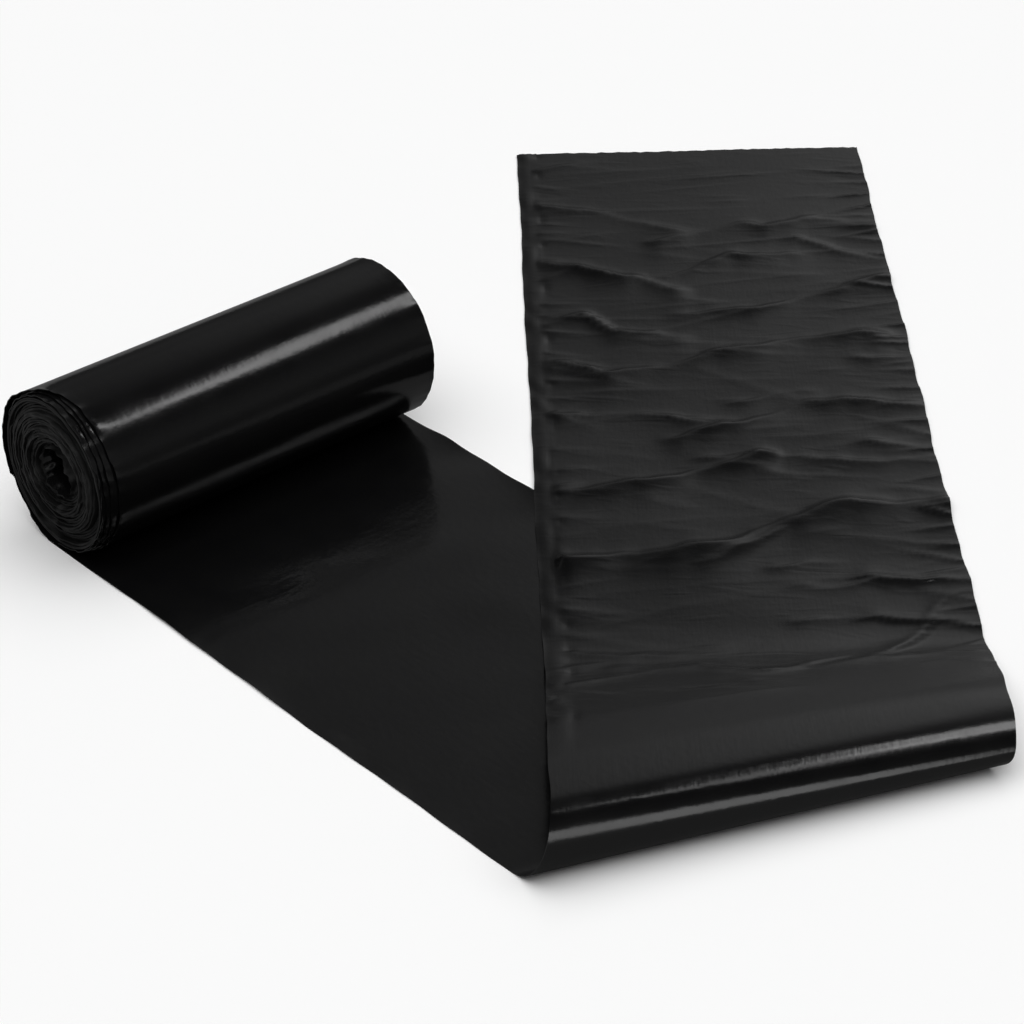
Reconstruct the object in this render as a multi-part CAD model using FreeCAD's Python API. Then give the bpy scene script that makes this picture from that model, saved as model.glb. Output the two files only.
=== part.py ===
import FreeCAD, Part
import bisect
import math
import os

# A roll of black bin bags with no core, partly unrolled.
# The bags are one continuous web, folded flat to the roll's width and wound up.
# The web leaves the bottom of the roll along +X, lies flat on the ground, turns back over
# itself in a soft skewed fold and ends at a torn perforation.
# The origin is on the ground under the middle of the roll's axis, which lies along Y.
# The near edge of the web is the one at the -Y end of the roll.

Vector = FreeCAD.Vector

# The web, in millimetres and degrees
web_width = 230.0
web_thickness = 0.8
first_leg_length = 360.6
second_leg_length = 820.1

# The wound roll
roll_radius = 46.9
flat_spot_sink = 0.2
loose_turn_gap = 0.5
step_count = 3
near_step_inset = 3.8
far_step_inset = 1.0
group_wall = 2.5
group_gap = 0.7
end_recess = 5.0
end_raggedness = 3.5
core_ring_radius = 17.0
core_hole_radius = 9.5
cut_margin = 1.0

# The pinches that make the core hole uneven: how many round it, how deep, and where
core_pinches = [(2, 0.15, 2.1), (3, 0.08, 1.0), (5, 0.05, 0.0)]
core_arc_count = 7

# The fold: its loop is higher at the near edge, and takes longer to settle behind it there
fold_skew = 20.1
fold_nose = 7.0
near_loop_height = 37.5
near_loop_reach = 18.1
near_settle_length = 180.0
far_loop_height = 24.7
far_loop_reach = 22.2
far_settle_length = 95.0
leg_gap = 0.7
lift_length = 90.0
underlay_margin = 12.0

# The wrinkles on the second leg, and the smooth band along its near edge
wrinkle_start = 90.0
wrinkle_rise = 45.0
edge_band_width = 9.5
wrinkle_width = 8.5
wrinkle_fade = 14.0
flat_row_pitch = 9.0
fold_row_pitch = 4.0
strip_count = 9

# Each wrinkle is its height, then the points of its crest: the distance from the torn end
# and the distance from the near edge.
wrinkles = [
    (3.0, (77, 12), (115, 97)),
    (3.6, (129, 90), (101, 184), (111, 225)),
    (4.4, (154, 10), (176, 60), (195, 91)),
    (3.0, (178, 92), (151, 170)),
    (2.6, (128, 177), (160, 227)),
    (3.4, (225, 98), (210, 168), (181, 228)),
    (3.2, (234, 13), (253, 89)),
    (3.6, (285, 12), (291, 80), (256, 175), (254, 210)),
    (3.4, (341, 14), (340, 55), (354, 106)),
    (4.0, (370, 85), (331, 161), (336, 224)),
    (3.0, (392, 103), (400, 225)),
    (4.0, (428, 16), (421, 54), (390, 127)),
    (5.0, (497, 13), (486, 101), (446, 163), (444, 227)),
    (2.8, (524, 144), (518, 190), (520, 229)),
    (2.6, (556, 150), (557, 222)),
    (3.6, (612, 158), (541, 214)),
    (2.6, (606, 30), (619, 120), (594, 218)),
]

skew = math.radians(fold_skew)
half_width = web_width / 2
along_fold = Vector(math.sin(skew), math.cos(skew), 0)
across_fold = Vector(math.cos(skew), -math.sin(skew), 0)
torn_end = first_leg_length + second_leg_length


def smooth_step(share):
    """Rise from 0 to 1 with level ends, for a share of 0 to 1."""
    share = min(max(share, 0.0), 1.0)
    return share * share * (3 - 2 * share)


def uneven(number):
    """A fixed uneven value from 0 to 1 for each half turn; its waves never line up."""
    return 0.5 + 0.5 * math.sin(2.4 * number)


def half_disc(side, centre_height, radius, near_end, far_end):
    """Half a disc of wound film; side -1 is the back half and +1 the front half."""
    bottom = Vector(0, near_end, centre_height - radius)
    middle = Vector(side * radius, near_end, centre_height)
    top = Vector(0, near_end, centre_height + radius)
    outline = Part.Wire([Part.Arc(bottom, middle, top).toShape(), Part.makeLine(top, bottom)])
    return Part.Face(outline).extrude(Vector(0, far_end - near_end, 0))


def half_ring(side, centre_height, radius, wall, near_end, far_end):
    """Half a turn of the given wall, open towards the upright plane through the axis."""
    outer = half_disc(side, centre_height, radius, near_end, far_end)
    inner_ends = (near_end - cut_margin, far_end + cut_margin)
    return outer.cut(half_disc(side, centre_height, radius - wall, *inner_ends))


def spiral_halves():
    """Side, centre height and radius of each half turn, from the outermost inwards.

    Back halves start at the bottom and front halves at the top. Each is smaller than the
    one before it by half the pitch there, so the halves join into one spiral.
    """
    pitches = [web_thickness + loose_turn_gap] * 2
    pitches += [web_thickness] * (2 * step_count - 2)
    radius = roll_radius
    centre_height = roll_radius - flat_spot_sink
    side = -1
    halves = []
    while radius > core_ring_radius:
        halves.append((side, centre_height, radius))
        pitch = pitches[len(halves) - 1] if len(halves) <= len(pitches) else group_wall + group_gap
        radius -= pitch / 2
        centre_height -= side * pitch / 2
        side = -side
    return halves


def stepped_layers(halves):
    """The outermost turns, each inset a little more than the one under it."""
    layers = []
    for number, (side, centre_height, radius) in enumerate(halves):
        steps = step_count - (number + 1) // 2
        near_inset = near_step_inset * steps if number else 0.0
        near_end = -half_width + near_inset
        far_end = half_width - far_step_inset * steps
        layers.append(half_disc(side, centre_height, radius, near_end, far_end))
    return layers


def ragged_groups(halves):
    """The inner turns: tight groups of film that end unevenly at both faces of the roll."""
    groups = []
    for number, (side, centre_height, radius) in enumerate(halves):
        near_end = -half_width + end_raggedness * uneven(number)
        far_end = half_width - end_raggedness * uneven(number + len(halves))
        groups.append(half_ring(side, centre_height, radius, group_wall, near_end, far_end))
    return groups


def core_hole():
    """The pinched hole right through the roll, where the film was gripped to wind it."""
    start = -half_width - cut_margin
    point_count = 2 * core_arc_count
    points = []
    for number in range(point_count + 1):
        angle = 2 * math.pi * (number % point_count) / point_count
        pinch = sum(depth * math.cos(count * angle + turn) for count, depth, turn in core_pinches)
        radius = core_hole_radius * (1 + pinch)
        height = roll_radius + radius * math.sin(angle)
        points.append(Vector(radius * math.cos(angle), start, height))
    arcs = [Part.Arc(*points[first:first + 3]).toShape() for first in range(0, point_count, 2)]
    return Part.Face(Part.Wire(arcs)).extrude(Vector(0, web_width + 2 * cut_margin, 0))


def ground_block():
    """A block under the ground, as wide as the roll, which flattens what would reach into it."""
    side = 2 * roll_radius
    corner = Vector(-roll_radius, -half_width, -side)
    return Part.makeBox(side, web_width, side, corner)


def wound_roll():
    """The wound part, solid inside, with its steps, its ragged ends and its pinched hole."""
    halves = spiral_halves()
    stepped = halves[:2 * step_count]
    inner = halves[2 * step_count:]
    body_ends = (-half_width + end_recess, half_width - end_recess)
    body = [half_disc(*half, *body_ends) for half in inner[:2]]
    ring_start = Vector(0, -half_width + end_raggedness / 2, roll_radius)
    ring_length = web_width - end_raggedness
    ring = Part.makeCylinder(core_ring_radius, ring_length, ring_start, Vector(0, 1, 0))
    pieces = stepped_layers(stepped) + ragged_groups(inner) + body
    return ring.multiFuse(pieces).cut([core_hole(), ground_block()])


def first_leg():
    """The flat run of the web on the ground, from under the roll to the skewed fold line."""
    flat_spot = math.sqrt(2 * roll_radius * flat_spot_sink)
    far_length = first_leg_length + web_width * math.tan(skew)
    corners = [
        Vector(-flat_spot, -half_width, 0),
        Vector(first_leg_length, -half_width, 0),
        Vector(far_length, half_width, 0),
        Vector(-flat_spot, half_width, 0),
    ]
    outline = Part.makePolygon(corners + corners[:1])
    return Part.Face(outline).extrude(Vector(0, 0, web_thickness))


def fold_profile(far_share):
    """The web's outer face where it folds back, in the upright plane across the fold.

    It runs forward on the ground, round half an ellipse and down to lie flat. Each entry
    is its length from the fold line, the reach and height there, and the way inwards.
    The far share is 0 at the near edge of the web and 1 at the far edge.
    """
    loop_height = near_loop_height + far_share * (far_loop_height - near_loop_height)
    loop_reach = near_loop_reach + far_share * (far_loop_reach - near_loop_reach)
    settle_length = near_settle_length + far_share * (far_settle_length - near_settle_length)
    loop_steps = 60
    settle_steps = 120
    shape = [(0.0, 0.0, 0.0, 1.0)]
    for number in range(loop_steps + 1):
        angle = math.pi * number / loop_steps
        forward = loop_reach * math.cos(angle)
        upward = loop_height / 2 * math.sin(angle)
        step = math.hypot(forward, upward)
        reach = fold_nose + loop_reach * math.sin(angle)
        height = loop_height / 2 * (1 - math.cos(angle))
        shape.append((reach, height, -upward / step, forward / step))
    for number in range(1, settle_steps + 1):
        share = number / settle_steps
        reach = fold_nose - settle_length * share
        height = web_thickness + (loop_height - web_thickness) * (1 - smooth_step(share))
        slope = (loop_height - web_thickness) / settle_length * 6 * share * (1 - share)
        shape.append((reach, height, math.sin(math.atan(slope)), -math.cos(math.atan(slope))))
    profile = []
    length = 0.0
    for entry in shape:
        if profile:
            length += math.hypot(entry[0] - profile[-1][1], entry[1] - profile[-1][2])
        profile.append((length, *entry))
    return profile


def place_on_profile(profile, distance):
    """Reach, height and inward direction of the profile at a distance from the fold line."""
    last = profile[-1]
    if distance >= last[0]:
        return (last[1] - (distance - last[0]), *last[2:])
    number = bisect.bisect_right([entry[0] for entry in profile], distance)
    before = profile[number - 1]
    after = profile[number]
    share = (distance - before[0]) / (after[0] - before[0])
    return tuple(a + share * (b - a) for a, b in zip(before[1:], after[1:]))


def crest_at(points, across):
    """Distance of a wrinkle's crest from the torn end, at a distance from the near edge."""
    if across <= points[0][1]:
        return points[0][0]
    for (along_a, across_a), (along_b, across_b) in zip(points, points[1:]):
        if across <= across_b:
            share = (across - across_a) / (across_b - across_a)
            return along_a + share * (along_b - along_a)
    return points[-1][0]


def wrinkle_height(from_torn_end, across):
    """Height of all wrinkles together at one place on the second leg."""
    total = 0.0
    for height, *points in wrinkles:
        past_ends = max(points[0][1] - across, across - points[-1][1])
        fade = 1 - smooth_step(past_ends / wrinkle_fade)
        away = (from_torn_end - crest_at(points, across)) / wrinkle_width
        total += height * fade * math.exp(-away * away)
    return total * smooth_step(across / edge_band_width - 0.5)


def web_faces(profile, along, across):
    """The web's outer and inner face at one place: along it from the roll, and across it."""
    past_start = along - first_leg_length
    past_fold = past_start * math.cos(skew) - across * math.sin(skew)
    beside_fold = past_start * math.sin(skew) + across * math.cos(skew)
    reach, height, inward_x, inward_z = place_on_profile(profile, max(past_fold, 0))
    corner = Vector(first_leg_length, -half_width, 0)
    outer = corner + along_fold * beside_fold + across_fold * reach
    over_first_leg = 1 - smooth_step((outer.y - half_width) / underlay_margin)
    lift = (web_thickness + leg_gap) * over_first_leg * smooth_step(past_fold / lift_length)
    settled = smooth_step((past_fold - wrinkle_start) / wrinkle_rise)
    wrinkled = settled * wrinkle_height(torn_end - along, across)
    outer = outer + Vector(0, 0, height + lift + wrinkled)
    inner = outer + (across_fold * inward_x + Vector(0, 0, inward_z)) * web_thickness
    return outer, inner


def row_shares(fold_run):
    """Where the rows of points lie: close together round the fold, then further apart."""
    fold_span = fold_run / second_leg_length
    fold_rows = round(fold_run / fold_row_pitch)
    flat_rows = round((second_leg_length - fold_run) / flat_row_pitch)
    shares = [fold_span * number / fold_rows for number in range(fold_rows)]
    return shares + [1 - (1 - fold_span) * number / flat_rows for number in range(flat_rows, -1, -1)]


def second_leg():
    """The fold and the wrinkled run behind it, a closed sheet of the web's thickness."""
    strip_width = (web_width - edge_band_width) / (strip_count - 1)
    columns = [0.0] + [edge_band_width + strip_width * number for number in range(strip_count)]
    profiles = [fold_profile(across / web_width) for across in columns]
    outer_rows = []
    inner_rows = []
    for share in row_shares(profiles[0][-1][0]):
        outer_row = []
        inner_row = []
        for profile, across in zip(profiles, columns):
            start = first_leg_length + across * math.tan(skew)
            outer, inner = web_faces(profile, start + share * (torn_end - start), across)
            outer_row.append(outer)
            inner_row.append(inner)
        outer_rows.append(outer_row)
        inner_rows.append(inner_row)
    return closed_sheet(outer_rows, inner_rows)


def closed_sheet(outer_rows, inner_rows):
    """A solid of small flat faces between two grids of points."""
    rows = len(outer_rows)
    columns = len(outer_rows[0])
    points = [point for grid in (outer_rows, inner_rows) for row in grid for point in row]
    inner_start = rows * columns
    facets = []
    for row in range(rows - 1):
        for column in range(columns - 1):
            corner = row * columns + column
            cell = (corner, corner + 1, corner + columns + 1, corner + columns)
            facets += two_facets(*cell)
            facets += two_facets(*[inner_start + number for number in reversed(cell)])
    last_row = (rows - 1) * columns
    border = list(range(columns))
    border += range(2 * columns - 1, rows * columns, columns)
    border += range(rows * columns - 2, last_row - 1, -1)
    border += range(last_row - columns, -1, -columns)
    for start, end in zip(border, border[1:]):
        facets += two_facets(end, start, inner_start + start, inner_start + end)
    skin = Part.Shape()
    skin.makeShapeFromMesh((points, facets), 0.001)
    return Part.Solid(skin)


def two_facets(a, b, c, d):
    """Two triangles that fill a cell with these four corners."""
    return [(a, b, c), (a, c, d)]


def bag_web():
    """The whole web, wound and unrolled, as one piece."""
    return wound_roll().multiFuse([first_leg(), second_leg()])


os.makedirs("parts", exist_ok=True)
bag_web().exportStep("parts/bag_web.step")
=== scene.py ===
import bmesh
import bpy
import math
import numpy as np
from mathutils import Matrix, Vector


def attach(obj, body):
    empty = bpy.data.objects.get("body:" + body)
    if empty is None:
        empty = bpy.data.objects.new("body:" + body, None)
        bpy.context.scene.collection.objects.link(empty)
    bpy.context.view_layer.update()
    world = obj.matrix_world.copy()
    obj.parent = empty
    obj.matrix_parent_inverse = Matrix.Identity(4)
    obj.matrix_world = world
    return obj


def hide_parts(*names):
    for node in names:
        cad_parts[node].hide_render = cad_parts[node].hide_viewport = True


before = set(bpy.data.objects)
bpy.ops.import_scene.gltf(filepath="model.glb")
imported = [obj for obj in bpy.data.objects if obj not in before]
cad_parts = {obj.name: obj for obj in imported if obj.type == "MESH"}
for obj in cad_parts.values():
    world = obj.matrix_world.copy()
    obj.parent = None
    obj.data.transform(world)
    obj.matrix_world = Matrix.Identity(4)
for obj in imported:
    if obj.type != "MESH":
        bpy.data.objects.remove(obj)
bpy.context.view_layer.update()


# Inner turns of the roll
# The wound body of the roll: black bin bags folded flat into one web and wound up tight
# without a core. The turns end unevenly at both faces, and the film that was gripped to
# start the winding is left as a crumpled ring round a pinched hole.

full_turn = 2 * math.pi

# The web and the roll, in millimetres
web_width = 230.0
half_width = web_width / 2
roll_centre = 46.9
body_radius = 43.2
ring_radius = 16.0
turn_count = 20
groove_depth = 0.5
columns = 192

# How far the ends of the turns lie back from the end of the roll, from the rim inwards
rim_recess = 0.6
ring_recess = 5.2
face_recess = [0.6, 1.8, 3.2, 3.0, 1.6, 0.6, 0.8, 1.8, 1.4, 2.2, 3.6, 5.2]

# How much further back they lie on one side of the face than on average, as a share
side_tilt = 0.8

# Groups of turns that slid against each other: how far, and the angle that a group takes up
step_depth = 2.2
step_every = 4.6 * math.pi

# Multiples of this share, less their whole part, spread evenly from 0 to 1 in no clear order
even_share = 0.618

# The angle over which the groove between the turns fades out where the spiral starts and ends
groove_fade = 0.4

# Waves in the ends of the turns: how high, how many a radian, and how far each face's seed
# shifts them
end_waves = [
    (0.5, 0.37, 1.0), (0.5, 0.83, 2.3), (0.4, 2.71, 1.7),
    (0.25, 6.13, 1.0), (0.2, 14.3, 1.0), (0.12, 23.9, 0.0),
]

# The profile of one turn: how far across it, and the share of the groove's depth there
turn_profile = [(0.0, 1.0), (0.2, 0.12), (0.5, 0.0), (0.85, 0.2)]

# The pinches of the hole: how many round it, the share of the radius, and where they start
hole_radius = 11.3
hole_pinches = [(2, 0.15, 2.1), (3, 0.08, 1.0), (5, 0.05, 0.0), (8, 0.04, 0.7), (13, 0.02, 2.0)]

# The crumpled ring: its ridge, its lip, and its folds, each the height, how many round the
# ring, how far they slant on the way to the hole, and how far each face's seed turns them
ring_steps = 10
ridge_height = 3.4
ridge_place = 0.5
ridge_width = 0.18
lip_drop = 2.5
ring_folds = [(0.6, 5, 3, 1), (0.5, 9, -5, 2), (0.4, 16, 7, 0)]

# Cells of the ring beside the hole that show the film's face and not its edges
face_cells = 4


def linear(hex_colour):
    """The linear colour of an sRGB hex value."""
    values = [int(hex_colour[start:start + 2], 16) / 255 for start in (1, 3, 5)]
    lifted = [value / 12.92 if value <= 0.04045 else ((value + 0.055) / 1.055) ** 2.4 for value in values]
    return (*lifted, 1.0)


def add_node(tree, kind, settings=None, links=None):
    """Add a node, set its inputs and properties, and link its inputs to other outputs."""
    node = tree.nodes.new(kind)
    for name, value in (settings or {}).items():
        if isinstance(name, str) and hasattr(node, name):
            setattr(node, name, value)
        else:
            node.inputs[name].default_value = value
    for name, output in (links or {}).items():
        tree.links.new(output, node.inputs[name])
    return node


def blown_ldpe_film():
    """LDPE blown into thin film, filled with carbon black.

    It is near black with a smooth semi-gloss. The die leaves faint lines along the web, and
    winding leaves soft uneven patches, so the highlights are long and slightly streaked.
    """
    material = bpy.data.materials.new("blown_ldpe_film")
    material.use_nodes = True
    tree = material.node_tree
    shader = tree.nodes["Principled BSDF"]
    shader.inputs["IOR"].default_value = 1.51
    place = add_node(tree, "ShaderNodeAttribute", {"attribute_name": "web_place"}).outputs["Vector"]
    # Die lines about 1.2 mm apart, and each about 60 mm long
    stretched = add_node(
        tree, "ShaderNodeVectorMath", {"operation": "MULTIPLY", 1: (16.0, 830.0, 1.0)}, {0: place})
    die_lines = add_node(
        tree, "ShaderNodeTexNoise", {"Scale": 1.0, "Detail": 2.0}, {"Vector": stretched.outputs[0]})
    # Uneven patches about 25 mm across
    patches = add_node(tree, "ShaderNodeTexNoise", {"Scale": 40.0, "Detail": 3.0}, {"Vector": place})
    # Fine crinkle about 4 mm across
    crinkle = add_node(tree, "ShaderNodeTexNoise", {"Scale": 250.0, "Detail": 2.0}, {"Vector": place})
    # Sharp little creases about 9 mm apart and 35 mm long, only where the web is rumpled
    rumpled = add_node(tree, "ShaderNodeSeparateXYZ", links={0: place}).outputs["Z"]
    across_web = add_node(
        tree, "ShaderNodeVectorMath", {"operation": "MULTIPLY", 1: (110.0, 28.0, 0.0)}, {0: place})
    creases = add_node(
        tree, "ShaderNodeTexNoise",
        {"noise_type": "RIDGED_MULTIFRACTAL", "Scale": 1.0, "Detail": 1.5, "Distortion": 1.0},
        {"Vector": across_web.outputs[0]})
    crease_height = add_node(
        tree, "ShaderNodeMath", {"operation": "MULTIPLY"}, {0: creases.outputs["Fac"], 1: rumpled})
    gloss = add_node(
        tree, "ShaderNodeMapRange", {"From Min": 0.3, "From Max": 0.7, "To Min": 0.13, "To Max": 0.2},
        {"Value": patches.outputs["Fac"]})
    tone = add_node(
        tree, "ShaderNodeMix",
        {"data_type": "RGBA", 6: linear("#0a0a0b"), 7: linear("#0f0f0f")},
        {"Factor": patches.outputs["Fac"]})
    lines = add_node(
        tree, "ShaderNodeBump", {"Strength": 0.35, "Distance": 0.00006},
        {"Height": die_lines.outputs["Fac"]})
    creased = add_node(
        tree, "ShaderNodeBump", {"Strength": 0.35, "Distance": 0.0005},
        {"Height": crease_height.outputs["Value"], "Normal": lines.outputs["Normal"]})
    relief = add_node(
        tree, "ShaderNodeBump", {"Strength": 0.5, "Distance": 0.00012},
        {"Height": crinkle.outputs["Fac"], "Normal": creased.outputs["Normal"]})
    tree.links.new(tone.outputs[2], shader.inputs["Base Color"])
    tree.links.new(gloss.outputs["Result"], shader.inputs["Roughness"])
    tree.links.new(relief.outputs["Normal"], shader.inputs["Normal"])
    return material


def film_edges():
    """The edges of many film layers, side by side, as the end of the roll shows them.

    Each edge scatters the light, so the ends are duller than the film's own face.
    """
    material = bpy.data.materials.new("film_edges")
    material.use_nodes = True
    tree = material.node_tree
    shader = tree.nodes["Principled BSDF"]
    shader.inputs["IOR"].default_value = 1.51
    shader.inputs["Specular IOR Level"].default_value = 0.4
    place = add_node(tree, "ShaderNodeAttribute", {"attribute_name": "web_place"}).outputs["Vector"]
    # Single layers about 0.3 mm apart, drawn across the turns
    stretched = add_node(
        tree, "ShaderNodeVectorMath", {"operation": "MULTIPLY", 1: (60.0, 60.0, 3300.0)}, {0: place})
    layers = add_node(
        tree, "ShaderNodeTexNoise", {"Scale": 1.0, "Detail": 2.0}, {"Vector": stretched.outputs[0]})
    gloss = add_node(
        tree, "ShaderNodeMapRange", {"From Min": 0.3, "From Max": 0.7, "To Min": 0.3, "To Max": 0.55},
        {"Value": layers.outputs["Fac"]})
    tone = add_node(
        tree, "ShaderNodeMix",
        {"data_type": "RGBA", 6: linear("#080808"), 7: linear("#202020")},
        {"Factor": layers.outputs["Fac"]})
    # Places about 9 mm across where the layers stand apart and look greyer
    loose = add_node(tree, "ShaderNodeTexNoise", {"Scale": 110.0, "Detail": 2.0}, {"Vector": place})
    loose_share = add_node(
        tree, "ShaderNodeMapRange", {"From Min": 0.5, "From Max": 0.72}, {"Value": loose.outputs["Fac"]})
    greyer = add_node(
        tree, "ShaderNodeMix", {"data_type": "RGBA", 7: linear("#343434")},
        {"Factor": loose_share.outputs["Result"], 6: tone.outputs[2]})
    relief = add_node(
        tree, "ShaderNodeBump", {"Strength": 0.6, "Distance": 0.0002},
        {"Height": layers.outputs["Fac"]})
    tree.links.new(greyer.outputs[2], shader.inputs["Base Color"])
    tree.links.new(gloss.outputs["Result"], shader.inputs["Roughness"])
    tree.links.new(relief.outputs["Normal"], shader.inputs["Normal"])
    return material


film = blown_ldpe_film()
edges = film_edges()


def smooth_step(share):
    """Rise from 0 to 1 with level ends, for shares of 0 to 1."""
    share = np.clip(share, 0.0, 1.0)
    return share * share * (3 - 2 * share)


def grid_cells(rows, count):
    """The corners of each cell of a grid of points, numbered row by row."""
    corner = (np.arange(rows - 1)[:, None] * count + np.arange(count - 1)[None, :]).ravel()
    return np.stack([corner, corner + 1, corner + count + 1, corner + count], axis=1)


def film_piece(name, points, places, cells, materials, cell_materials=None):
    """A closed piece of film: points in millimetres, and each point's place on the web.

    The place is how far along and across the web, and a third number that the materials use.
    """
    mesh = bpy.data.meshes.new(name)
    mesh.from_pydata((points / 1000).tolist(), [], cells.tolist())
    attribute = mesh.attributes.new("web_place", "FLOAT_VECTOR", "POINT")
    attribute.data.foreach_set("vector", (places / 1000).astype(np.float32).ravel())
    for material in materials:
        mesh.materials.append(material)
    if cell_materials is not None:
        mesh.polygons.foreach_set("material_index", cell_materials.astype(np.int32))
    shape = bmesh.new()
    shape.from_mesh(mesh)
    bmesh.ops.remove_doubles(shape, verts=shape.verts, dist=1e-6)
    bmesh.ops.dissolve_degenerate(shape, edges=shape.edges, dist=1e-6)
    bmesh.ops.recalc_face_normals(shape, faces=shape.faces)
    shape.to_mesh(mesh)
    shape.free()
    mesh.shade_smooth()
    mesh.set_sharp_from_angle(angle=math.radians(45))
    piece = bpy.data.objects.new(name, mesh)
    bpy.context.scene.collection.objects.link(piece)
    return piece


def turn_recess(spiral, turn_seed):
    """How far the end of the film lies back, along the spiral that the web is wound in."""
    last = full_turn * turn_count
    mean = np.interp(spiral / last, np.linspace(0, 1, len(face_recess)), face_recess)
    # The side of the face away from the unrolled web is nearly flush, and the other sunk
    mean = mean * (1 + side_tilt * np.cos(-math.pi / 2 - spiral))
    waves = sum(height * np.sin(rate * spiral + shift * turn_seed) for height, rate, shift in end_waves)
    steps = step_depth * (np.mod(even_share * np.floor(spiral / step_every) + 0.3 * turn_seed, 1) - 0.5)
    past_rim = smooth_step((spiral - full_turn) / full_turn)
    before_ring = smooth_step((last - full_turn - spiral) / full_turn)
    inside = past_rim * before_ring
    border = np.where(spiral < last / 2, rim_recess, ring_recess)
    return (mean + waves + steps) * inside + border * (1 - inside)


def end_face(angle, turn_seed):
    """Radius and recess of one end face along a line from the rim to the hole's lip."""
    pitch = (body_radius - ring_radius) / (turn_count - 1)
    radii = []
    recesses = []
    for turn in range(turn_count):
        outer = body_radius - pitch * max(turn - 1 + angle / full_turn, 0) * (turn > 0)
        inner = body_radius - pitch * min(turn + angle / full_turn, turn_count - 1)
        groove_at = angle + full_turn * (turn - 1)
        to_end = full_turn * (turn_count - 1) - groove_at
        groove_ends = smooth_step(groove_at / groove_fade) * smooth_step(to_end / groove_fade)
        width = (outer - inner) / pitch
        # Some turns stand further apart than others
        opened = groove_depth * (0.25 + 1.3 * (even_share * turn % 1))
        for local, groove in turn_profile:
            depth = opened * groove * (groove_ends if local == 0 else width)
            radii.append(outer + (inner - outer) * local)
            recesses.append(turn_recess(angle + full_turn * turn, turn_seed) + depth)
    return radii, recesses


def hole_outline(theta):
    """Radius of the pinched hole in a direction round the axis."""
    pinch = sum(depth * math.cos(count * theta + start) for count, depth, start in hole_pinches)
    return hole_radius * (1 + pinch)


def crumpled_ring(angle, theta, turn_seed):
    """Radius and recess of the crumpled film between the turns and the hole, outside in."""
    radii = [ring_radius]
    recesses = [ring_recess]
    lip = hole_outline(theta)
    for number in range(1, ring_steps + 1):
        share = number / ring_steps
        folds = math.sin(math.pi * share) ** 0.5 * sum(
            height * math.sin(count * theta + slant * share + turned * turn_seed)
            for height, count, slant, turned in ring_folds)
        ridge = ridge_height * math.exp(-((share - ridge_place) / ridge_width) ** 2)
        waver = 0.2 * math.sin(11 * theta + 4 * share)
        radii.append(ring_radius + (lip - ring_radius) * share + waver)
        recesses.append(ring_recess - ridge + folds + lip_drop * share ** 6)
    return radii, recesses


def inner_turns():
    """The wound body, with a spiral of turn edges and a crumpled ring at both ends."""
    tunnel_steps = 16
    side_steps = 8
    points = []
    places = []
    for column in range(columns + 1):
        angle = full_turn * column / columns
        theta = -math.pi / 2 - angle
        near_radii, near_recesses = end_face(angle, 1.0)
        near_ring = crumpled_ring(angle, theta, 1.0)
        far_radii, far_recesses = end_face(angle, 4.0)
        far_ring = crumpled_ring(angle, theta, 4.0)
        radii = near_radii + near_ring[0]
        heights = [-half_width + recess for recess in near_recesses + near_ring[1]]
        far = [half_width - recess for recess in far_recesses + far_ring[1]]
        start = heights[-1]
        end = far[-1]
        # The hole narrows a little towards the middle, and its pleats twist on the way
        for step in range(1, tunnel_steps):
            share = step / tunnel_steps
            squeeze = 1 - 0.12 * math.sin(math.pi * share)
            pleat = 0.3 * math.sin(9 * theta + 6 * share) * math.sin(math.pi * share)
            radii.append(hole_outline(theta + 0.5 * share) * squeeze + pleat)
            heights.append(start + (end - start) * smooth_step(share))
        radii += list(reversed(far_radii + far_ring[0]))
        heights += list(reversed(far))
        for step in range(1, side_steps):
            radii.append(body_radius)
            heights.append(far[0] + (heights[0] - far[0]) * step / side_steps)
        for radius, height in zip(radii, heights):
            points.append((radius * math.cos(theta), height, roll_centre + radius * math.sin(theta)))
            places.append((angle * ring_radius, height, radius))
    count = len(points) // (columns + 1)
    cells = grid_cells(columns + 1, count)
    closing = np.arange(columns) * count
    cells = np.concatenate([
        cells,
        np.stack([closing + count - 1, closing, closing + count, closing + 2 * count - 1], axis=1),
    ])
    lip = len(near_radii + near_ring[0]) - 1
    number = np.arange(len(cells))
    past_lip = number % (count - 1) - lip
    # The cells after the grid close the outside of the roll
    in_grid = number < columns * (count - 1)
    in_hole = in_grid & (past_lip >= -face_cells) & (past_lip < tunnel_steps + face_cells)
    return film_piece("inner_turns", np.array(points), np.array(places), cells, [edges, film], in_hole)


body = inner_turns()
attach(body, "root")
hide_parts("bag_web")


# Outer turns of the roll
# The last four turns of the same folded web, wound a little less tight. Each turn ends
# further in than the one under it, so the near end of the roll has fine steps.

film_thickness = 0.5
outer_turn_count = 4
far_step = 0.8
# How far each half turn's near end lies back, from the last one wound to the first
near_steps = [11.0, 9.8, 8.2, 5.0, 4.6, 3.4, 1.0, 0.2]
# The film's ends curl up: how high, and how far in from the end, in millimetres
near_curl = (0.8, 2.6)
far_curl = (0.5, 5.0)
loose_pitch = 1.1
tight_pitch = 0.7
roll_radius = 46.9
flat_spot_sink = 0.2


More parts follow.
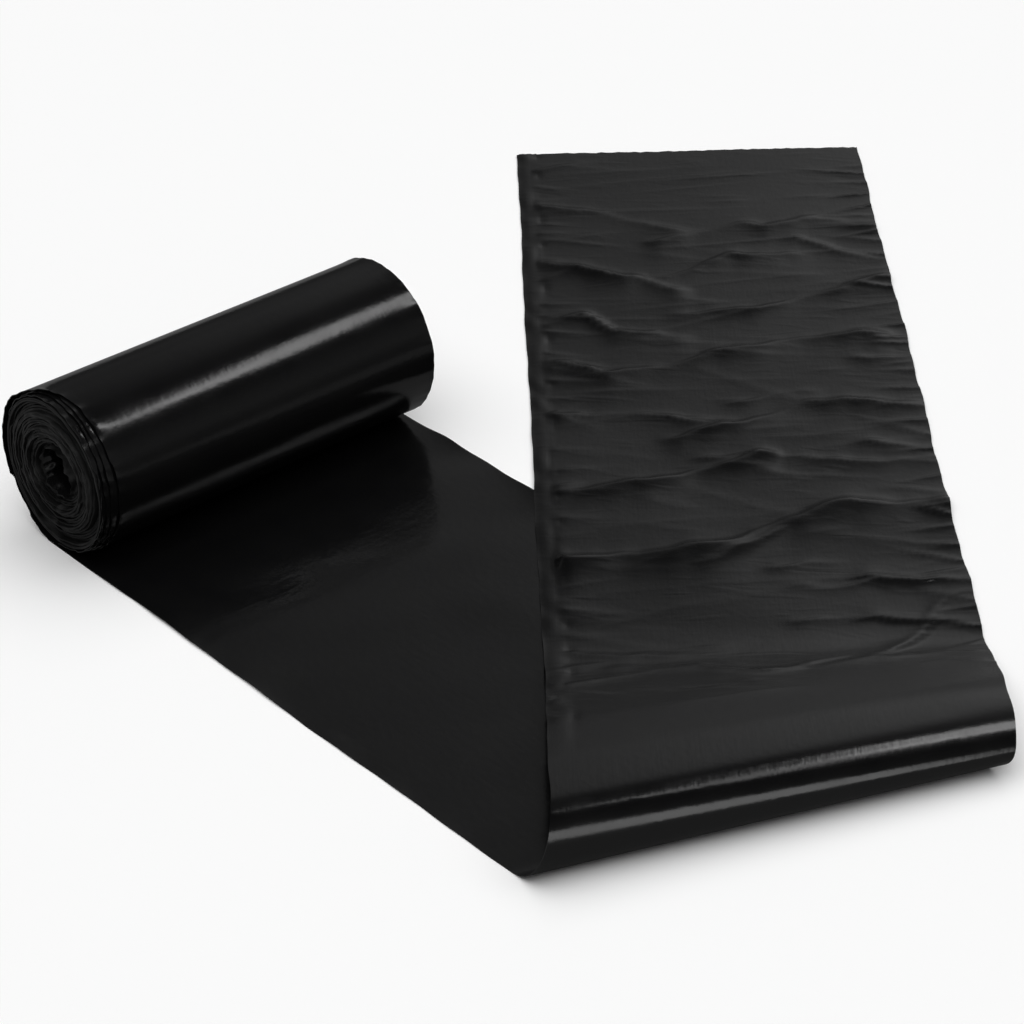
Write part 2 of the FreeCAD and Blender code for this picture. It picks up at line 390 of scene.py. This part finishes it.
def sheet_piece(name, outer, inner, places):
    """A closed sheet of film between two grids of points."""
    rows, count = outer.shape[:2]
    total = rows * count
    points = np.concatenate([outer.reshape(-1, 3), inner.reshape(-1, 3)])
    cells = grid_cells(rows, count)
    index = np.arange(total).reshape(rows, count)
    border = np.concatenate([index[0, :], index[1:, -1], index[-1, -2::-1], index[-2:0:-1, 0], index[0, :1]])
    walls = np.stack([border[1:], border[:-1], border[:-1] + total, border[1:] + total], axis=1)
    cells = np.concatenate([cells, cells[:, ::-1] + total, walls])
    return film_piece(name, points, np.concatenate([places.reshape(-1, 3)] * 2), cells, [film])


def turn_circle(half_turn):
    """Radius and centre height of a half turn, so that the half turns make one spiral."""
    radius = roll_radius
    centre = roll_radius - flat_spot_sink
    for number in range(half_turn):
        pitch = loose_pitch if number < 2 else tight_pitch
        radius -= pitch / 2
        centre += pitch / 2 if number % 2 == 0 else -pitch / 2
    return radius, centre


def outer_turns():
    """The outer turns, from the ground under the roll, up its back and over it."""
    steps_a_turn = 180
    near_shares = np.array([0, 0.4, 1.0, 1.8, 2.8, 4, 6, 8, 11, 15, 20, 28, 40, 60, 85]) / web_width
    shares = np.concatenate([near_shares, [0.5], 1 - near_shares[::-1]])
    rows = outer_turn_count * steps_a_turn + 1
    outer = np.zeros((rows, len(shares), 3))
    inner = np.zeros((rows, len(shares), 3))
    places = np.zeros((rows, len(shares), 3))
    for row in range(rows):
        spiral = full_turn * row / steps_a_turn
        half_turn = min(int(spiral / math.pi + 1e-9), 2 * outer_turn_count - 1)
        radius, centre = turn_circle(half_turn)
        theta = -math.pi / 2 - spiral
        # The web leaves the ground at its full width and is drawn in behind the roll
        settled = smooth_step(spiral / 1.4)
        drawn_in = smooth_step((spiral - 2.3) / 1.3)
        turns = spiral / full_turn
        wander = 0.5 * math.sin(1.7 * spiral) + 0.3 * math.sin(4.3 * spiral + 1)
        ragged = 0.22 * math.sin(11.7 * spiral) + 0.18 * math.sin(23.3 * spiral + 2)
        step_back = np.interp(turns, np.arange(1, len(near_steps) + 1) / 2, near_steps)
        # The edge steps in and out again low on the back of the roll
        notches = 1.3 * smooth_step((spiral - 0.6) / 0.05) - 1.6 * smooth_step((spiral - 1.1) / 0.05)
        near = -half_width + drawn_in * (step_back + wander + ragged)
        near += (1 - drawn_in) * (settled * 0.5 * wander + notches + 0.3 * settled)
        far = half_width - settled * (far_step * (outer_turn_count - turns) + 0.4 * wander)
        across = near + (far - near) * shares
        from_near = across - near
        from_far = far - across
        near_waves = 0.5 + 0.5 * math.sin(9 * spiral + math.sin(31 * spiral))
        far_waves = 0.5 + 0.5 * math.sin(13 * spiral + math.sin(23 * spiral))
        lift = near_curl[0] * np.exp(-from_near / near_curl[1]) * near_waves
        lift += far_curl[0] * np.exp(-from_far / far_curl[1]) * far_waves
        for face, depth in ((outer, 0.0), (inner, film_thickness)):
            face[row, :, 0] = (radius - depth + lift) * math.cos(theta)
            face[row, :, 1] = across
            face[row, :, 2] = np.maximum(centre + (radius - depth + lift) * math.sin(theta), depth)
        places[row, :, 0] = -spiral * roll_radius
        places[row, :, 1] = across + half_width
    return sheet_piece("outer_turns", outer, inner, places)


wound = outer_turns()
wound_length = sum(math.pi * turn_circle(half)[0] for half in range(2 * outer_turn_count))
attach(wound, "root")
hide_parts("bag_web")


# Unrolled web
# The rest of the folded web: flat on the ground in front of the roll, then turned back over
# itself in a soft skewed fold, and wrinkled from there to the torn perforation.

first_leg_length = 360.6
second_leg_length = 820.1
torn_end = first_leg_length + second_leg_length

# The fold: its skew, its nose, and how high, deep and long its loop is at both edges
skew = math.radians(20.1)
fold_nose = 7.0
near_loop = {"height": 37.5, "reach": 18.1, "settle": 180.0}
far_loop = {"height": 24.7, "reach": 22.2, "settle": 95.0}

# Where the second leg lies on the first: the thickness of the web and the gap over it, how
# long the second leg takes to rise past the fold, and to sink beside the first leg
web_stack = 0.8
leg_gap = 0.7
lift_length = 90.0
underlay_margin = 90.0

# How far past the fold the wrinkles start, and how long they take to rise
wrinkle_start = 90.0
wrinkle_rise = 45.0

# The smooth band along the near edge
edge_band_width = 9.5

# The torn end runs a little askew, in rise for each millimetre across, and is ragged
torn_slant = 0.013
torn_raggedness = 0.7

# The main wrinkles: height, width, then the points of the crest, each the distance from
# the torn end and the distance from the near edge. A wrinkle is steep on the side of the
# torn end, or on the side of the fold if its width is below 0.
main_wrinkles = [
    (1.2, 9, (77, 12), (89, 53), (115, 97)),
    (1.6, 10, (129, 90), (119, 116), (107, 141), (114, 157), (101, 184), (111, 225)),
    (3.4, 11, (154, 10), (174, 54), (178, 72), (195, 91)),
    (2.0, 9, (178, 92), (150, 132), (151, 170)),
    (1.1, 7, (128, 177), (160, 227)),
    (2.0, 9, (225, 98), (222, 136), (210, 168), (181, 228)),
    (2.1, 9, (234, 13), (223, 36), (245, 55), (253, 89)),
    (2.2, 10, (279, 12), (296, 47), (291, 80), (273, 115), (256, 175), (254, 210)),
    (1.0, 6, (282, 204), (282, 227)),
    (1.4, 8, (341, 14), (345, 35), (340, 55), (354, 106)),
    (2.4, 10, (370, 85), (354, 124), (346, 145), (331, 161), (336, 224)),
    (1.0, 6, (330, 126), (317, 161)),
    (1.0, 7, (378, 196), (385, 229)),
    (1.3, 8, (392, 103), (391, 152), (398, 169), (400, 225)),
    (3.2, 11, (428, 16), (421, 54), (405, 103), (390, 127)),
    (4.0, 14, (497, 13), (493, 56), (486, 101), (471, 122), (457, 147), (446, 163), (444, 227)),
    (1.0, 6, (502, 93), (463, 139)),
    (1.0, 5, (505, 133), (501, 155)),
    (1.2, 6, (524, 144), (526, 159), (520, 182), (520, 229)),
    (1.2, -6, (517, 178), (523, 229)),
    (1.2, -6, (556, 174), (559, 218)),
    (0.8, 5, (556, 140), (556, 160)),
    (1.2, -7, (596, 176), (569, 199), (546, 209), (532, 222)),
    (0.9, -5, (618, 116), (604, 140), (596, 163)),
    (1.4, 9, (606, 42), (608, 78), (619, 120), (609, 142), (602, 167), (596, 198), (594, 218)),
    (1.0, 6, (587, 15), (593, 66)),
]

# Small creases all over, along the far edge and along the smooth band: how many, between
# which distances from the near edge, the least and most reach, height and width, and the seed
small_crease_strips = [
    (120, (10, 225), (10, 45), (0.1, 0.5), (2.5, 8), 11),
    (44, (220, 232), (8, 26), (0.4, 1.3), (2.5, 5), 5),
    (26, (12, 20), (8, 30), (0.3, 1.1), (3, 9), 8),
]
first_crease = 15
crease_run = 640

# Two short creases on the first leg: height, width, how far along and across the leg they
# lie, and how far they reach
first_leg_creases = [(0.9, 4.5, 263, 115, 9), (0.9, 4.5, 233, 3, 4)]


def fold_profile(far_share):
    """The web's outer face where it folds back: length, reach, height and the way inwards."""
    height, reach, settle = [
        near_loop[size] + far_share * (far_loop[size] - near_loop[size])
        for size in ("height", "reach", "settle")]
    turn = np.linspace(0, math.pi, 61)
    share = np.linspace(0, 1, 121)[1:]
    step = np.hypot(reach * np.cos(turn), height / 2 * np.sin(turn))
    slope = np.arctan((height - web_stack) / settle * 6 * share * (1 - share))
    reaches = np.concatenate([[0], fold_nose + reach * np.sin(turn), fold_nose - settle * share])
    settling = web_stack + (height - web_stack) * (1 - smooth_step(share))
    heights = np.concatenate([[0], height / 2 * (1 - np.cos(turn)), settling])
    inward_x = np.concatenate([[0], -height / 2 * np.sin(turn) / step, np.sin(slope)])
    inward_z = np.concatenate([[1], reach * np.cos(turn) / step, -np.cos(slope)])
    lengths = np.concatenate([[0], np.cumsum(np.hypot(np.diff(reaches), np.diff(heights)))])
    return lengths, reaches, heights, inward_x, inward_z


def crease(away, width):
    """The profile of a crease, steep on one side of its crest and soft on the other."""
    roundness = 0.2
    side = np.where(away * np.sign(width) < 0, 0.35 * abs(width), abs(width))
    return np.exp(roundness - np.sqrt((away / side) ** 2 + roundness ** 2))


def main_creases(from_end, across):
    """The creases that run most of the way across the second leg."""
    total = np.zeros_like(from_end)
    for height, width, *crest in main_wrinkles:
        line = np.interp(across, [place[1] for place in crest], [place[0] for place in crest])
        # The crest wavers, fades out past its ends, and is higher in some places than in others
        line = line + 1.2 * np.sin(across / 7 + height * 9) + 0.6 * np.sin(across / 2.9 + width)
        past_ends = np.maximum(crest[0][1] - across, across - crest[-1][1])
        fade = 1 - smooth_step(past_ends / 16)
        uneven = 0.75 + 0.35 * np.sin(across / 13 + 5 * height)
        total += height * fade * uneven * crease(from_end - line, width)
    return total


def small_creases(from_end, across, count, sides, reaches, heights, widths, seed):
    """Short creases spread over a strip of the second leg."""
    chance = np.random.default_rng(seed)
    total = np.zeros_like(from_end)
    for number in range(count):
        place = first_crease + crease_run * (number + chance.uniform(0.1, 0.9)) / count
        beside = across - chance.uniform(*sides)
        away = from_end - place - chance.normal(0, 0.25) * beside
        reach = chance.uniform(*reaches)
        height = chance.uniform(*heights)
        width = chance.uniform(*widths)
        total += height * np.exp(-(beside / reach) ** 2) * crease(away, width)
    return total


def past_band(across):
    """0 on the smooth band along the near edge, and 1 beside it."""
    return smooth_step((across - edge_band_width + 2) / 7)


def wrinkle_height(from_end, across):
    """The height of the wrinkles of the second leg."""
    total = 1.15 * main_creases(from_end, across)
    for strip in small_crease_strips:
        total += small_creases(from_end, across, *strip)
    swell = np.sin(from_end / 23 + across / 41) * np.sin(from_end / 37 - across / 60 + 1)
    total += 0.35 * swell + 0.35
    return total * past_band(across)


def band_height(from_end, across):
    """The gathered near edge: soft dents along it, and pinches where it meets the wrinkles."""
    dents = np.sin(from_end / 5.7 + 1.7 * np.sin(from_end / 17)) * np.sin(from_end / 26 + 2)
    across_band = np.sin(math.pi * np.clip(across / edge_band_width, 0, 1))
    groove = np.exp(-((across - edge_band_width) / 0.9) ** 2) * (0.5 + 0.5 * np.sin(from_end / 19))
    pinches = np.maximum(np.sin(from_end / 6.1 + 2.2 * np.sin(from_end / 23)), 0) ** 3
    pinches = pinches * np.exp(-((across - edge_band_width - 4) / 1.8) ** 2)
    level = 0.3 + 0.5 * smooth_step(across / 6)
    return (1 - past_band(across)) * (level + 0.3 * dents * across_band) - 0.08 * groove - 0.4 * pinches


def first_leg_height(along, across):
    """The slight unevenness of the first leg, which lies almost flat."""
    waves = 0.5 + 0.5 * np.sin(along / 21 + 0.9 * np.sin(across / 37))
    near_waves = 0.5 + 0.5 * np.sin(along / 9.5 + 2 + 2 * np.sin(along / 43))
    far_waves = 0.5 + 0.5 * np.sin(along / 10 + 1 + 2 * np.sin(along / 37))
    height = 0.5 * waves * (0.5 + 0.5 * np.sin(across / 29 + along / 90))
    height += 0.25 + 0.25 * np.sin((along - 0.35 * across) / 10.5) * np.sin(across / 33 + along / 57 + 1)
    height += 0.2 + 0.2 * np.sin(along / 6.3 + 2 * np.sin(across / 23)) * np.exp(-along / 120)
    height += 0.9 * near_waves * np.exp(-across / 5) + 1.5 * far_waves * np.exp(-(web_width - across) / 8)
    for crease_height, width, crease_along, crease_across, reach in first_leg_creases:
        beside = across - crease_across
        away = along - crease_along - 0.3 * beside
        height += crease_height * np.exp(-(beside / reach) ** 2) * crease(away, width)
    return height


def edge_waver(along, across):
    """How far the edges wander sideways, because the web was folded flat by rollers."""
    near = 0.2 * np.sin(along / 13 + 2 * np.sin(along / 71))
    near += 0.15 * np.sin(along / 5.3 + 1) + 0.4 * np.sin(along / 41)
    far = 0.45 * np.sin(along / 15 + 2) + 0.35 * np.sin(along / 6.1) + 0.5 * np.sin(along / 47 + 1)
    on_web = smooth_step((along - 30) / 40)
    return on_web * (near * np.exp(-across / 12) + far * np.exp(-(web_width - across) / 12))


def unrolled_web():
    """The whole unrolled run of the web, as one closed sheet."""
    # Rows are about 6 mm apart on the first leg, 2 mm round the fold and 1.3 mm past it
    loop_run = 70.0
    first_rows = np.linspace(0, 1, 61)[:-1]
    loop_rows = np.linspace(0, 1, 37)[:-1]
    last_rows = np.linspace(0, 1, 581)
    near_columns = [0, 0.8, 2.2, 4, 6, 8, 9.5, 11, 12.5, 14, 16]
    columns_across = np.concatenate([near_columns, np.arange(19, 226, 3.8), [227.5, 229.2, 230]])
    fold_line = first_leg_length + columns_across * math.tan(skew)
    chance = np.random.default_rng(3)
    ragged = chance.uniform(-torn_raggedness, torn_raggedness, len(columns_across))
    torn_edge = torn_end + columns_across * torn_slant - 1.0 + ragged
    loop_end = fold_line + loop_run
    along = np.concatenate([
        fold_line[None, :] * first_rows[:, None],
        fold_line[None, :] + loop_run * loop_rows[:, None],
        loop_end[None, :] + (torn_edge - loop_end)[None, :] * last_rows[:, None],
    ])
    across = np.broadcast_to(columns_across, along.shape)
    from_end = torn_end - along
    past_start = along - first_leg_length
    past_fold = past_start * math.cos(skew) - across * math.sin(skew)
    beside_fold = past_start * math.sin(skew) + across * math.cos(skew) + edge_waver(along, across)
    reach, height, inward_x, inward_z = np.zeros((4, *along.shape))
    for column, place in enumerate(columns_across):
        lengths, reaches, heights, *inward = fold_profile(place / web_width)
        distance = np.maximum(past_fold[:, column], 0)
        reach[:, column] = np.interp(distance, lengths, reaches) - np.maximum(distance - lengths[-1], 0)
        height[:, column] = np.interp(distance, lengths, heights)
        inward_x[:, column] = np.interp(distance, lengths, inward[0])
        inward_z[:, column] = np.interp(distance, lengths, inward[1])
    ahead = np.where(past_fold > 0, reach, past_fold)
    x = first_leg_length + math.sin(skew) * beside_fold + math.cos(skew) * ahead
    y = -half_width + math.cos(skew) * beside_fold - math.sin(skew) * ahead
    over_first_leg = 1 - smooth_step((y - half_width) / underlay_margin)
    lift = (web_stack + leg_gap) * over_first_leg * smooth_step(past_fold / lift_length)
    settled = smooth_step((past_fold - wrinkle_start) / wrinkle_rise)
    on_first_leg = smooth_step(-past_fold / 40)
    past_roll = smooth_step((along - 25) / 40)
    # Towards the fold, all but the far side of the first leg lies flatter
    flatter = smooth_step((along - 150) / 60) * smooth_step((150 - across) / 40)
    z = height + lift + settled * (wrinkle_height(from_end, across) + band_height(from_end, across))
    z = z + on_first_leg * past_roll * (1 - 0.7 * flatter) * first_leg_height(along, across)
    outer = np.stack([x, y, np.maximum(z, 0)], axis=2)
    inner = outer + film_thickness * np.stack(
        [inward_x * math.cos(skew), -inward_x * math.sin(skew), inward_z], axis=2)
    # The third number is how rumpled the film is: 300 on the first leg, 1000 on the second
    rumpled = 1000 * (0.3 + 0.7 * settled)
    places = np.stack([along, across, rumpled], axis=2)
    return sheet_piece("unrolled_web", outer, inner, places)


web = unrolled_web()
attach(web, "root")
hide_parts("bag_web")


# Floor, light and camera
# A plain white floor in soft light from a wide lamp overhead. The film mirrors a dim studio
# and three soft boxes: one draws the bright line along the roll, one the line along the top
# of the fold, and a low one in front lights the nose of the fold.

floor_mesh = bpy.data.meshes.new("floor")
floor_mesh.from_pydata([(-8, -8, 0), (8, -8, 0), (8, 8, 0), (-8, 8, 0)], [], [(0, 1, 2, 3)])
floor = bpy.data.objects.new("floor", floor_mesh)
bpy.context.scene.collection.objects.link(floor)
# White where the camera sees it, and a mid grey where the film mirrors it
floor_paint = bpy.data.materials.new("matt_pale_floor")
floor_paint.use_nodes = True
paint = floor_paint.node_tree
paint.nodes["Principled BSDF"].inputs["Roughness"].default_value = 0.9
paint.nodes["Principled BSDF"].inputs["Specular IOR Level"].default_value = 0.0
seen = add_node(paint, "ShaderNodeLightPath")
floor_tone = add_node(
    paint, "ShaderNodeMix", {"data_type": "RGBA", 6: linear("#7c7c7c"), 7: linear("#ffffff")},
    {"Factor": seen.outputs["Is Camera Ray"]})
paint.links.new(floor_tone.outputs[2], paint.nodes["Principled BSDF"].inputs["Base Color"])
floor_mesh.materials.append(floor_paint)


studio = bpy.data.worlds.new("studio")
studio.use_nodes = True
bpy.context.scene.world = studio
sky = studio.node_tree
direction = add_node(sky, "ShaderNodeTexCoord").outputs["Generated"]
rising = add_node(sky, "ShaderNodeSeparateXYZ", links={0: direction}).outputs["Z"]
camera_left = (-0.695, -0.719, 0.0)
sideways = add_node(
    sky, "ShaderNodeVectorMath", {"operation": "DOT_PRODUCT", 1: camera_left}, {0: direction})
side_share = add_node(
    sky, "ShaderNodeMapRange", {"From Min": -1.0, "From Max": 1.0}, {"Value": sideways.outputs["Value"]})
by_height = add_node(sky, "ShaderNodeValToRGB", links={0: rising})
by_side = add_node(sky, "ShaderNodeValToRGB", links={0: side_share.outputs["Result"]})
# How bright the mirrored studio is, by the sine of the height above the floor, and by the
# side, from the right of the camera's view (0) to its left (1)
height_levels = [(0.0, 0.4), (0.12, 0.45), (0.28, 1.0), (0.53, 1.0), (0.68, 0.65), (0.8, 0.25), (0.9, 0.1)]
side_levels = [
    (0.0, 0.2), (0.1, 0.06), (0.25, 0.08), (0.35, 0.27), (0.415, 0.5),
    (0.5, 0.22), (0.585, 0.09), (0.75, 0.05), (1.0, 0.2),
]
for ramp, levels in ((by_height.color_ramp, height_levels), (by_side.color_ramp, side_levels)):
    while len(ramp.elements) < len(levels):
        ramp.elements.new(0.5)
    for element, (position, level) in zip(ramp.elements, levels):
        element.position = position
        element.color = (level, level, level, 1)
dim_sky = add_node(
    sky, "ShaderNodeMix", {"data_type": "RGBA", "blend_type": "MULTIPLY", "Factor": 1.0},
    {6: by_height.outputs["Color"], 7: by_side.outputs["Color"]})
looked_at = add_node(sky, "ShaderNodeLightPath")
backdrop = add_node(
    sky, "ShaderNodeMix", {"data_type": "RGBA", 7: linear("#ffffff")},
    {"Factor": looked_at.outputs["Is Camera Ray"], 6: dim_sky.outputs[2]})
sky.links.new(backdrop.outputs[2], sky.nodes["Background"].inputs["Color"])


def soft_box(name, place, towards, size, power, long_way=(0.0, 1.0, 0.0), in_reflections=True):
    """A rectangular lamp that points at a place, with its long side along a given way.

    It is either seen in reflections or gives soft light, but not both.
    """
    lamp = bpy.data.lights.new(name, "AREA")
    lamp.shape = "RECTANGLE"
    lamp.size, lamp.size_y = size
    lamp.energy = power
    light = bpy.data.objects.new(name, lamp)
    back = (Vector(place) - Vector(towards)).normalized()
    along = Vector(long_way)
    along = (along - along.dot(back) * back).normalized()
    side = along.cross(back)
    light.matrix_world = Matrix(((*side, 0), (*along, 0), (*back, 0), (*place, 1))).transposed()
    light.visible_glossy = in_reflections
    light.visible_diffuse = not in_reflections
    light.visible_camera = False
    bpy.context.scene.collection.objects.link(light)


soft_box("over_roll", (0.60, 1.0, 1.52), (0.1, 0.0, 0.05), (0.30, 0.5), 1.95, long_way=(-0.93, 0.37, 0.0))
soft_box("over_fold", (0.84, 0.64, 1.52), (0.42, 0.0, 0.03), (0.16, 0.55), 0.62, long_way=(-0.64, 0.77, 0.0))
soft_box("before_fold", (1.85, -0.02, 0.33), (0.38, 0.0, 0.03), (0.62, 0.55), 2.4)
soft_box("overhead", (0.2, 0.2, 6.0), (0.2, 0.2, 0.0), (12.0, 12.0), 720, in_reflections=False)

lens = bpy.data.cameras.new("camera")
lens.sensor_width = 36.0
lens.lens = 110.88
camera = bpy.data.objects.new("camera", lens)
camera.location = (1.23248, -0.87647, 0.93729)
camera.rotation_euler = (math.radians(57.37), 0.0, math.radians(48.54))
bpy.context.scene.collection.objects.link(camera)
bpy.context.scene.camera = camera
bpy.context.scene.view_settings.view_transform = "Standard"
